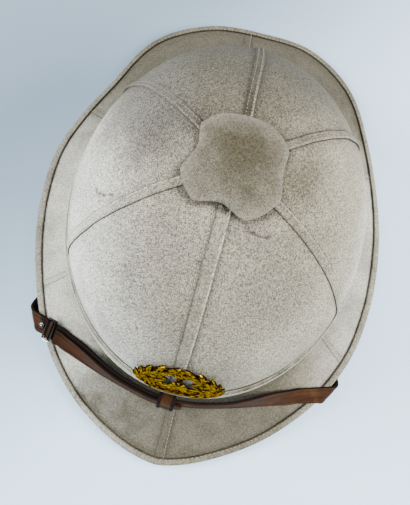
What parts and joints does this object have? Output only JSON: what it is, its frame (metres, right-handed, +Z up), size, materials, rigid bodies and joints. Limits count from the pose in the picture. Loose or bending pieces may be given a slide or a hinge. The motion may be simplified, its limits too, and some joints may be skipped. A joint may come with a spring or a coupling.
{
  "type": "pith helmet",
  "caption": "Cloth-covered cork sun helmet with lapped seams, a lobed vent cap, a pleated band, a gilt wreath badge and a leather chin strap.",
  "frame": {"origin": "under the middle of the helmet, on the surface it rests on", "axes": "+Z up, the front of the helmet towards -Y, the wearer's left towards +X"},
  "size_m": [0.245, 0.3346, 0.1603],
  "materials": {
    "cover_cloth": "matte",
    "seam_cloth": "matte",
    "edge_tape": "matte",
    "band_cloth": "matte",
    "brown_leather": "satin",
    "gilt_brass": "gloss",
    "nickel": "gloss",
    "zinc": "satin"
  },
  "bodies": {
    "root": {"crown": "cover_cloth", "brim": "cover_cloth", "edge_tape": "edge_tape", "hat_band": "band_cloth", "vent_cap": "cover_cloth", "vent_post": "zinc", "badge": "gilt_brass", "chin_strap": "brown_leather", "strap_tail": "brown_leather", "front_keeper": "brown_leather", "side_keeper": "brown_leather", "strap_buckle": "nickel", "strap_stud": "nickel", "crown_seam_front": "seam_cloth", "crown_seam_front_left": "seam_cloth", "crown_seam_back_left": "seam_cloth", "crown_seam_back": "seam_cloth", "crown_seam_back_right": "seam_cloth", "crown_seam_front_right": "seam_cloth", "brim_seam_front": "seam_cloth", "brim_seam_front_left": "seam_cloth", "brim_seam_back_left": "seam_cloth", "brim_seam_back": "seam_cloth", "brim_seam_back_right": "seam_cloth", "brim_seam_front_right": "seam_cloth"}
  },
  "joints": []
}
